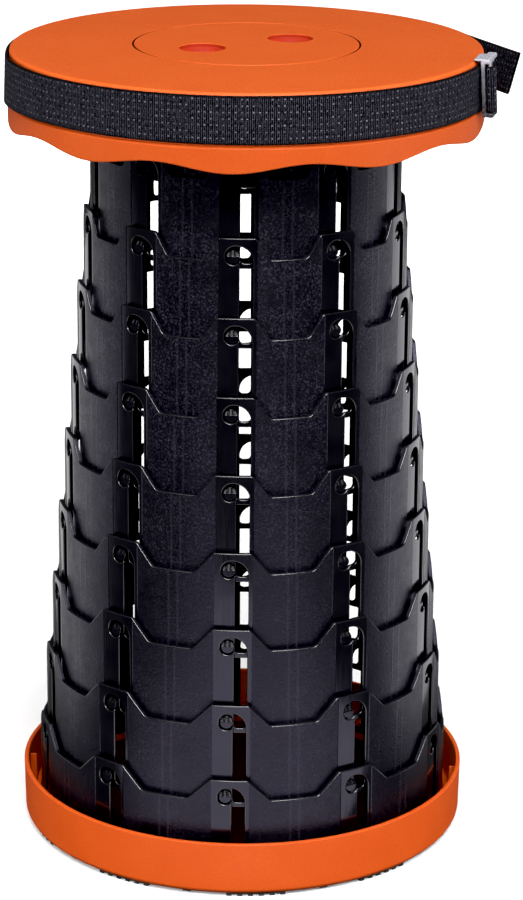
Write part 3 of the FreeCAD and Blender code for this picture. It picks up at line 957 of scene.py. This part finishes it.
# ------------------------------------------------------------------ base tray
tray = Build()
wall_in = TRAY_R - TRAY_WALL
lathe(
    tray,
    profile(
        [
            (0.01, 2.0),
            (TRAY_R - 2.6, 2.0),
            (TRAY_R - 0.55, 4.2),
            (TRAY_R, TRAY_TOP),
            (wall_in, TRAY_TOP),
            (wall_in - 0.5, 5.0),
            (108.0, 5.0),
        ],
        [0, 2.2, 3.0, 0.8, 0.7, 2.4, 0],
        steps=6,
    ),
    360,
    closed=False,
)
# painted shade: the tray floor inside the tower is dark
lathe(tray, [(r, 5.0, 0.0, 1.0) for r in (108.0, 92.0, 70.0, 40.0, 0.01)], 360, mat=1, closed=False)
outer_ring = ring_radius(RINGS)
lathe(
    tray,
    profile(
        [(outer_ring + 0.4, 4.6), (outer_ring + 2.8, 4.6), (outer_ring + 2.8, 14.0), (outer_ring + 0.4, 14.0)],
        [0, 0, 0.5, 0.3],
    ),
    240,
)


def block(size, bevel):
    """A box about the origin with rounded edges, as vertices, normals and faces."""
    bm = bmesh.new()
    bmesh.ops.create_cube(bm, size=1.0)
    bmesh.ops.scale(bm, vec=size, verts=bm.verts)
    bmesh.ops.bevel(
        bm, geom=list(bm.edges), offset=bevel, offset_type="OFFSET", segments=3, profile=0.5,
        affect="EDGES",
    )
    bm.normal_update()
    verts = np.array([tuple(v.co) for v in bm.verts])
    # a point's normal is that of the flat side it borders most
    normals = np.zeros((len(bm.verts), 3))
    for v in bm.verts:
        total = Vector((0, 0, 0))
        for f in v.link_faces:
            total += f.normal * f.calc_area()
        normals[v.index] = total.normalized()
    faces = [[v.index for v in f.verts] for f in bm.faces]
    bm.free()
    return verts, normals, faces


def put_block(build, size, centre, bevel, azimuth, mat=0):
    verts, normals, faces = block(size, bevel)
    part = Build()
    uv = np.c_[verts[:, 0] + verts[:, 1], verts[:, 2]]
    part.add(verts + np.array(centre, float), normals, faces, mat, uv=uv)
    build.turned(part, azimuth)


slot_low = pocket_z(RINGS) - PITCH + SLOT_FLOOR
for c in range(COLUMNS):
    put_block(tray, (5.6, 2.9, 3.0), (0, -(outer_ring - 0.35), slot_low + 1.8), 0.35,
              slot_azimuth(RINGS) + c * STEP)
    put_block(tray, (1.2, 4.2, 22.4), (0, -(wall_in - 1.6), 15.6), 0.4, 14.5 + c * STEP)
ob = tray.object("tray_shell", [ORANGE_TRAY, TRAY_WELL_PAINTED_SHADE])
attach(ob, "base")
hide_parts("base_tray")

# ------------------------------------------------------------------ feet
PAD_IN, PAD_OUT, PAD_HALF, TEETH = 112.0, 124.2, 7.6, 6
pads, blocks = Build(), Build()
for c in range(COLUMNS):
    az = 3.7 + c * STEP
    lathe(
        pads,
        profile([(PAD_IN, 1.05), (PAD_OUT, 1.05), (PAD_OUT, 2.0), (PAD_IN, 2.0)], [0.2, 0.3, 0, 0]),
        10, az0=az - PAD_HALF, az1=az + PAD_HALF,
    )
    width = 2 * PAD_HALF / (2 * TEETH - 1)
    for t in range(TEETH):
        a = az - PAD_HALF + (2 * t + 0.5) * width
        r_mid = (PAD_IN + PAD_OUT) / 2
        put_block(
            pads,
            (2 * r_mid * math.sin(math.radians(width / 2)), PAD_OUT - PAD_IN, 1.3),
            (0, -r_mid * 1.0, 0.65), 0.28, a,
        )
    put_block(blocks, (4.7, 6.2, 1.5), (0, -(PAD_OUT - 4.0), 1.35), 0.3, 21.7 + c * STEP)
ob = pads.object("foot_pads", [RUBBER])
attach(ob, "base")
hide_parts("base_foot_pads")
ob = blocks.object("foot_blocks", [RUBBER])
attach(ob, "base")
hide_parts("base_foot_blocks")

# ------------------------------------------------------------------ seat
crown_r = (SEAT_R**2 + SEAT_CROWN**2) / (2 * SEAT_CROWN)


def crown_z(r):
    return SEAT_RIM_Z + math.sqrt(crown_r**2 - r * r) - (crown_r - SEAT_CROWN)


cap_hole = CAP_R + CAP_GAP
under = SEAT_RIM_Z - 2.4
seat_points = [(58.0, 448.6), (cap_hole, 448.6), (cap_hole, crown_z(cap_hole))]
seat_radii = [0, 0, 0.45]
for k in range(1, 10):
    r = cap_hole + (SEAT_R - 2.2 - cap_hole) * k / 10
    seat_points.append((r, crown_z(r)))
    seat_radii.append(0)
seat_points += [
    (SEAT_R, SEAT_RIM_Z + 0.06),
    (SEAT_R, 422.3),
    (SKIRT_R, 421.6),
    (SKIRT_R, 400.0),
    (SKIRT_IN, 400.0),
    (SKIRT_IN, 421.0),
    (SEAT_R - 2.5, 423.0),
    (SEAT_R - 2.5, under),
    (79.1, under),
    (79.1, under - 6.1),
    (66.0, under - 6.1),
    (58.0, under - 1.0),
]
seat_radii += [1.9, 0.5, 0.9, 0.8, 0.5, 0.6, 0.6, 1.5, 0.6, 0.4, 0.4, 0.3]
seat_prof = profile(seat_points, seat_radii, steps=6)


def skirt_shift(az, i):
    if seat_prof[i][1] > 402.0:
        return (0.0, 0.0)
    a = math.radians(az)
    z = SKIRT_EDGE_Z - SKIRT_WAVE * math.cos(COLUMNS * (a - math.radians(-3.4)))
    return (0.0, z - 400.0)


seat = Build()
seat_mats = []
# painted shade: the low ledge in the gap round the cap takes the dark gap material, and the skirt takes the darker
# skirt copy of the orange
for i, q in enumerate(seat_prof):
    nxt = seat_prof[(i + 1) % len(seat_prof)]
    low_ledge = max(q[0], nxt[0]) < cap_hole + 0.1 and max(q[1], nxt[1]) < crown_z(cap_hole) - 0.2
    skirt = q[0] > 120 and max(q[1], nxt[1]) < 423.2
    seat_mats.append(1 if low_ledge else 2 if skirt else 0)
lathe(seat, seat_prof, 480, mat=seat_mats, shift=skirt_shift)
ob = seat.object("seat_top", [ORANGE_TOP, GAP_PAINTED_SHADE, ORANGE_SKIRT_PAINTED_SHADE])
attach(ob, "seat")
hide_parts("seat_shell")

# ------------------------------------------------------------------ cap with two finger holes
centres = []
for side in (-1, 1):
    d = side * 56.1 / 2
    centres.append((d * math.sin(math.radians(58.4)), d * math.cos(math.radians(58.4))))


def circle(cx, cy, r, count):
    return [
        (cx + r * math.cos(2 * math.pi * k / count), cy + r * math.sin(2 * math.pi * k / count))
        for k in range(count)
    ]


def cap_place(pts, deps):
    pts = np.asarray(pts, float)
    rr = np.hypot(pts[:, 0], pts[:, 1])
    z = np.array([crown_z(x) for x in rr]) - deps
    one = np.ones(len(pts))
    return np.c_[pts, z], (
        np.c_[one, 0 * one, 0 * one], np.c_[0 * one, one, 0 * one], np.c_[0 * one, 0 * one, one]
    )


cap = Build()
grid = [(x, y) for x in np.arange(-60, 61, 6.0) for y in np.arange(-60, 61, 6.0)]
# painted shade: the cap's outer wall takes the dark gap material, and the finger-hole walls take the darker cup red
slab(
    cap, cap_place, [], [(circle(0, 0, CAP_R - 0.3, 200), 1)] + [(circle(x, y, FINGER_R, 72), -1) for x, y in centres],
    None, lambda q: np.full(len(q), 2.4), lambda q: np.zeros(len(q)), grid, [], [],
    0.34, 0.3, lambda c: 0, lambda p: 1 if math.hypot(*p) > 55 else 2, edge_mat=0,
)
# painted shade: the finger cups are darker red inside
for x, y in centres:
    cup = Build()
    lathe(
        cup,
        profile(
            [(0.01, 434.8), (FINGER_R - 0.05, 434.8), (FINGER_R - 0.05, 449.6), (FINGER_R + 1.8, 449.0),
             (FINGER_R + 1.8, 432.9), (0.01, 432.9)],
            [0, 2.6, 0, 0, 1.2, 0],
        ),
        72,
        mat=2,
    )
    for v in cup.v:
        v += np.array([x, y, 0.0])
    cap.turned(cup, 0.0)
for c in range(4):
    put_block(cap, (10, 1.6, 5.6), (0, -56.6, 446.0), 0.3, 45 + 90 * c)
    put_block(cap, (10, 1.9, 1.6), (0, -57.9, 444.3), 0.4, 45 + 90 * c)
ob = cap.object("seat_cap_disc", [ORANGE_CAP, GAP_PAINTED_SHADE, CUP_PAINTED_SHADE])
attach(ob, "seat")
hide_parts("seat_cap")

# ------------------------------------------------------------------ screws
screws = Build()
for c in range(5):
    part = Build()
    low = under - 8.7
    lathe(part, profile([(0.01, low - 1.2), (1.6, low - 1.2), (1.6, low - 1.85), (3.4, low - 1.85), (3.4, low), (1.6, low), (1.6, low + 7.0), (0.01, low + 7.0)],
                        [0, 0, 0.2, 0.7, 0.1, 0, 0.3, 0], steps=4), 24)
    for v in part.v:
        v += np.array([0, -72.0, 0.0])
    for a in (0, 90):
        verts, normals, faces = block((4.2, 0.9, 0.5), 0.12)
        if a:
            verts, normals = verts[:, [1, 0, 2]], normals[:, [1, 0, 2]]
        part.add(verts + np.array([0, -72.0, low - 1.35]), normals, faces, 0)
    screws.turned(part, 18 + 72 * c)
ob = screws.object("seat_screw_set", [STEEL])
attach(ob, "seat")
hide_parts("seat_screws")

# ------------------------------------------------------------------ strap
STRAP_IN = SEAT_R + 0.3
strap_mid = STRAP_LOW + STRAP_WIDTH / 2


def web_section(half_width, thick, step=0.42):
    """The strap's cut across: (outwards, up, normal out, normal up), with soft ribs and round edges."""
    out = []
    half_t = thick / 2
    straight = half_width - half_t
    count = int(2 * straight / step)
    for side in (1, -1):
        for k in range(count + 1):
            z = (-straight + 2 * straight * k / count) * side
            rib = 0.04 * math.cos(2 * math.pi * (z + 0.85) / 3.36)
            slope = -0.04 * 2 * math.pi / 3.36 * math.sin(2 * math.pi * (z + 0.85) / 3.36)
            out.append((side * (half_t - 0.04 + rib), z, side * 1.0, -slope))
        for k in range(1, 6):
            a = math.pi * k / 6
            out.append((
                side * (half_t - 0.0) * math.cos(a),
                side * (straight + half_t * math.sin(a)),
                side * math.cos(a), side * math.sin(a),
            ))
    return out


def ribbon(build, path, section, height_of, lean=None, closed=False, trim=None, u0=0.0, caps=True, mat=0):
    """Sweeps a strap's section along flat points. height_of(s, z) is a point's height; trim(z) shortens the end."""
    p = np.array(path, float)
    n = len(p)
    d = np.zeros_like(p)
    for i in range(n):
        a = p[i - 1] if (closed or i) else p[0]
        b = p[(i + 1) % n] if (closed or i < n - 1) else p[-1]
        d[i] = (b - a) / max(np.linalg.norm(b - a), 1e-9)
    arc = np.concatenate([[0.0], np.cumsum(np.linalg.norm(np.diff(p, axis=0), axis=1))])
    total = arc[-1] + (np.linalg.norm(p[0] - p[-1]) if closed else 0.0)
    k = len(section)
    verts, normals, uv = [], [], []

    def at(s):
        s = max(0.0, min(arc[-1], s))
        i = min(int(np.searchsorted(arc, s, side="right")) - 1, n - 2)
        t = (s - arc[i]) / max(arc[i + 1] - arc[i], 1e-9)
        q = p[i] * (1 - t) + p[i + 1] * t
        e = d[i] * (1 - t) + d[i + 1] * t
        return q, e / np.linalg.norm(e)

    rows = n + 1 if closed else n
    for i in range(rows):
        s = arc[i] if i < n else total
        for out, z, no, nz in section:
            if closed:
                q, e = p[i % n], d[i % n]
            else:
                cut = trim(z) if trim else 0.0
                q, e = at(s * (arc[-1] - cut) / arc[-1])
            side = np.array([e[1], -e[0]])
            extra = lean(s, z) if lean else 0.0
            pos = q + side * (out + extra)
            verts.append((pos[0], pos[1], height_of(s, z)))
            normals.append((side[0] * no, side[1] * no, nz))
            uv.append((u0 + s, z + 12.7))
    faces = []
    for i in range(rows - 1):
        for j in range(k):
            m = (j + 1) % k
            faces.append((i * k + j, i * k + m, (i + 1) * k + m, (i + 1) * k + j))
    build.add(verts, normals, faces, mat, uv=uv)
    if not closed and caps:
        for i, way in ((0, -1), (n - 1, 1)):
            e = d[i] * way
            ring_ = [verts[i * k + j] for j in range(k)]
            half = (k // 2)
            faces = []
            for j in range(half - 1):
                a, b = j, j + 1
                c_, e_ = (k - 1 - j) % k, (k - 2 - j) % k
                faces.append((a, b, e_, c_))
            build.add(ring_, [(e[0], e[1], 0)] * k, faces, mat, uv=[uv[i * k + j] for j in range(k)])


def rim_point(azimuth, r):
    a = math.radians(azimuth)
    return (r * math.sin(a), -r * math.cos(a))


def smooth_path(points, count):
    """A Catmull-Rom curve through the points."""
    p = [np.array(x, float) for x in points]
    p = [2 * p[0] - p[1]] + p + [2 * p[-1] - p[-2]]
    out = []
    spans = len(p) - 3
    for i in range(spans):
        a, b, c, d = p[i : i + 4]
        n = max(2, count // spans)
        for k in range(n):
            t = k / n
            out.append(
                0.5 * (2 * b + (c - a) * t + (2 * a - 5 * b + 4 * c - d) * t**2 + (3 * b - a - 3 * c + d) * t**3)
            )
    out.append(p[-2])
    return [tuple(x) for x in out]


def looseness(az):
    """How far the strap stands off the seat, in millimetres."""
    d = (az + 76 + 180) % 360 - 180
    wide = 17.0 if d > 0 else 8.0
    return 1.6 * math.exp(-((d / wide) ** 2)) + 0.08 * (1 + math.sin(math.radians(az * 3 + 40)))


section = web_section(STRAP_WIDTH / 2, STRAP_THICK)
strap = Build()
band = []
SEGS = 540
for k in range(SEGS):
    az = 360.0 * k / SEGS
    r = STRAP_IN + STRAP_THICK / 2
    d = (az - 75.5 + 180) % 360 - 180
    near = math.exp(-((d / 12.0) ** 2))
    r += looseness(az) * (1 - near)
    band.append(rim_point(az, r))
band_length = 2 * math.pi * (STRAP_IN + STRAP_THICK / 2)


def band_height(s, z):
    az = (360.0 * s / band_length + 180) % 360 - 180
    return strap_mid + z + 0.9 * math.exp(-((az / 55.0) ** 2))


def band_lean(s, z):
    d = (360.0 * s / band_length + 76 + 180) % 360 - 180
    return -0.045 * z * math.exp(-((d / 16.0) ** 2))


ribbon(strap, band, section, band_height, lean=band_lean, closed=True)

lap_r = STRAP_IN + STRAP_THICK * 1.5 + 0.1
tail_pts = [rim_point(a, lap_r) for a in range(152, 121, -6)]
tail_pts += [(121.0, 52.6), (130.6, 32.6), (139.6, 13.8), (148.4, -4.4)]
tail_path = smooth_path(tail_pts, 90)
ribbon(
    strap, tail_path, web_section(STRAP_WIDTH / 2 - 0.1, STRAP_THICK - 0.15), lambda s, z: strap_mid + z,
    trim=lambda z: 11.4 * (12.7 - z) / 25.4, u0=7.3, mat=1,
)
ob = strap.object("strap_band", [WEB, WEB_TAIL_PAINTED_LIGHT])
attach(ob, "seat")
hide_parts("strap")

# ------------------------------------------------------------------ buckle and the strap round its bars
BUCKLE_AZ = 75.5
near = STRAP_IN + STRAP_THICK + 0.35 + 0.4
far = STRAP_IN + STRAP_THICK + 0.35 + 7.4
b_low, b_high, half = 420.2, 451.6, 11.5
mid_z = (b_low + b_high) / 2
tall = b_high - b_low
buckle = Build()


def buckle_bar(x0, x1, y0, y1, z0, z1, bevel):
    put_block(
        buckle, (x1 - x0, y1 - y0, z1 - z0), ((x0 + x1) / 2, -(y0 + y1) / 2, (z0 + z1) / 2), bevel, BUCKLE_AZ
    )


buckle_bar(-half, 1.6, near, far - 0.9, b_low, b_low + 2.8, 0.9)
buckle_bar(-1.0, half, near, near + 3.4, b_low, b_low + 2.8, 0.9)
buckle_bar(-half, half, near, near + 4.9, b_high - 2.6, b_high, 0.8)
buckle_bar(-half + 0.6, half - 6.0, near - 3.4, near + 1.2, 450.4, b_high, 0.35)
buckle_bar(-half, -half + 3.4, near, near + 2.1, b_low + 1, b_high - 1, 0.8)
buckle_bar(-2.0, 2.0, near + 1.6, near + 4.4, b_low + 1, b_high - 1, 0.9)
buckle_bar(half - 3.4, half, near, near + 3.4, b_low + 1, b_high - 1, 0.9)
buckle_bar(-half + 1.6, -half + 4.6, far - 2.9, far - 1.8, b_low + 1, b_high - 1, 0.4)


def lean_out(build, slope=-0.062, offset=0.3):
    """Tips pieces at the buckle so that their lower end stands further out."""
    a = math.radians(BUCKLE_AZ)
    way = np.array([math.sin(a), -math.cos(a), 0.0])
    for v in build.v:
        v += ((v[:, 2:3] - mid_z) * slope + offset) * way


lean_out(buckle)
ob = buckle.object("buckle_body", [BUCKLE])
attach(ob, "seat")
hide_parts("buckle_frame")

loop = Build()
local = [(3.2, near + 0.5), (-3.0, near + 2.0), (-8.0, near + 2.7), (-11.0, near + 2.9), (-12.3, near + 4.9),
         (-11.0, far - 0.1), (-8.0, far + 0.1), (-3.4, near + 6.4), (0.0, near + 5.6), (2.6, near + 4.9),
         (3.4, near + 3.2)]
a = math.radians(BUCKLE_AZ)
path = []
for x, out in smooth_path(local, 100):
    path.append((x * math.cos(a) + out * math.sin(a), x * math.sin(a) - out * math.cos(a)))
ribbon(loop, path, web_section(12.3, 1.1), lambda s, z: strap_mid + 0.6 + z, u0=3.0)
lean_out(loop)
ob = loop.object("strap_loop", [WEB])
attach(ob, "seat")

# ------------------------------------------------------------------ floor, light and camera
def plane(name, x0, x1, y0, y1, z):
    mesh = bpy.data.meshes.new(name)
    mesh.from_pydata([(x0, y0, z), (x1, y0, z), (x1, y1, z), (x0, y1, z)], [], [(0, 1, 2, 3)])
    ob = bpy.data.objects.new(name, mesh)
    bpy.context.scene.collection.objects.link(ob)
    return ob


floor = plane("floor", -9.5, 9.5, -9.5, 9.5, -0.0002)
m, t, b = material("floor_paper")
p = coords(t)
t.links.new(mix(t, noise(t, p, 900.0, 3.0), rgb(0.88, 0.88, 0.88), rgb(0.93, 0.93, 0.93)), b.inputs["Base Color"])
b.inputs["Roughness"].default_value = 0.9
b.inputs["Specular IOR Level"].default_value = 0.1
b.inputs["Emission Color"].default_value = (1.0, 1.0, 1.0, 1.0)
away = make(t, "ShaderNodeVectorMath", {0: p}, operation="LENGTH").outputs["Value"]
t.links.new(ramp(t, away, 0.7, 3.0, 0.16, 0.85, True), b.inputs["Emission Strength"])
floor.data.materials.append(m)
floor.visible_glossy = False
floor.visible_diffuse = False

# a pale wall all round, far off, so that no view shows an edge of the floor
ring_pts = [(9.2 * math.cos(2 * math.pi * k / 96), 9.2 * math.sin(2 * math.pi * k / 96)) for k in range(96)]
mesh = bpy.data.meshes.new("backdrop")
mesh.from_pydata(
    [(x, y, z) for z in (-0.001, 9.0) for x, y in ring_pts],
    [],
    [(k, (k + 1) % 96, 96 + (k + 1) % 96, 96 + k) for k in range(96)],
)
backdrop = bpy.data.objects.new("backdrop", mesh)
bpy.context.scene.collection.objects.link(backdrop)
m, t, b = material("backdrop_paper")
tone = mix(t, noise(t, coords(t), 0.6, 2.0), rgb(0.96, 0.96, 0.96), rgb(1.0, 1.0, 1.0))
b.inputs["Base Color"].default_value = (0.0, 0.0, 0.0, 1.0)
b.inputs["Specular IOR Level"].default_value = 0.0
t.links.new(tone, b.inputs["Emission Color"])
b.inputs["Emission Strength"].default_value = 1.0
backdrop.data.materials.append(m)
backdrop.visible_glossy = False
backdrop.visible_diffuse = False
backdrop.visible_shadow = False

world = bpy.data.worlds.new("studio")
bpy.context.scene.world = world
world.use_nodes = True
world.node_tree.nodes["Background"].inputs[0].default_value = (1.0, 1.0, 1.0, 1.0)
world.node_tree.nodes["Background"].inputs[1].default_value = 0.06


def area(name, place, target, width, height, power, colour=(1, 1, 1)):
    data = bpy.data.lights.new(name, "AREA")
    data.shape = "RECTANGLE"
    data.size, data.size_y = width, height
    data.energy = power
    data.color = colour
    ob = bpy.data.objects.new(name, data)
    bpy.context.scene.collection.objects.link(ob)
    ob.location = place
    ob.rotation_euler = (Vector(target) - Vector(place)).to_track_quat("-Z", "Y").to_euler()
    ob.visible_camera = False
    return ob


sun_data = bpy.data.lights.new("sky_panel", "SUN")
sun_data.energy = 1.3
sun_data.angle = math.radians(55)
sun = bpy.data.objects.new("sky_panel", sun_data)
bpy.context.scene.collection.objects.link(sun)
sun.rotation_euler = Vector((0.08, 0.42, -1.0)).to_track_quat("-Z", "Y").to_euler()
area("front", (0.35, -2.0, 2.05), (0, 0, 0.22), 1.8, 1.0, 92.0)
for side in (
    area("left", (-1.6, -1.0, 0.55), (0, 0, 0.18), 1.0, 1.0, 27.0),
    area("right", (1.7, -0.6, 0.55), (0, 0, 0.18), 0.9, 1.1, 25.0),
    area("back", (-0.3, 2.0, 0.32), (0, 0, 0.22), 1.6, 0.4, 20.0),
):
    side.visible_glossy = False
# pale cards lying on the floor, which the polished rings mirror
for name, x, y, width, depth_, power in (
    ("card_front", 0.02, -0.35, 0.50, 0.42, 0.82),
    ("card_left", -0.85, 0.6, 1.2, 1.3, 4.1),
    ("card_right", 0.85, 0.6, 1.2, 1.3, 5.8),
):
    card = area(name, (x, y, 0.0), (x, y, 1.0), width, depth_, power)
    card.visible_diffuse = False

camera = bpy.data.objects.new("camera", bpy.data.cameras.new("camera"))
bpy.context.scene.collection.objects.link(camera)
bpy.context.scene.camera = camera
camera.data.sensor_fit = "AUTO"
camera.data.sensor_width = 36.0
camera.data.lens = 3074.497 / 900.0 * 36.0
camera.data.clip_start, camera.data.clip_end = 0.05, 20.0
pitch, yaw, roll = 0.318456, 0.0059275, 0.0079921
cp, sp, cy, sy, cr, sr = (
    math.cos(pitch), math.sin(pitch), math.cos(yaw), math.sin(yaw), math.cos(roll), math.sin(roll),
)
right = Vector((cr * cy + sr * sp * sy, -cr * sy + sr * sp * cy, sr * cp))
up = Vector((-sr * cy + cr * sp * sy, sr * sy + cr * sp * cy, cr * cp))
ahead = Vector((cp * sy, cp * cy, -sp))
camera.matrix_world = Matrix(
    (
        (right.x, up.x, -ahead.x, 0.0),
        (right.y, up.y, -ahead.y, -1.65758),
        (right.z, up.z, -ahead.z, 0.76468),
        (0, 0, 0, 1),
    )
)
scene = bpy.context.scene
scene.view_settings.view_transform = "Standard"
scene.view_settings.look = "None"
scene.view_settings.use_curve_mapping = True
scene.view_settings.curve_mapping.black_level = (0.006, 0.006, 0.006)
scene.view_settings.curve_mapping.update()
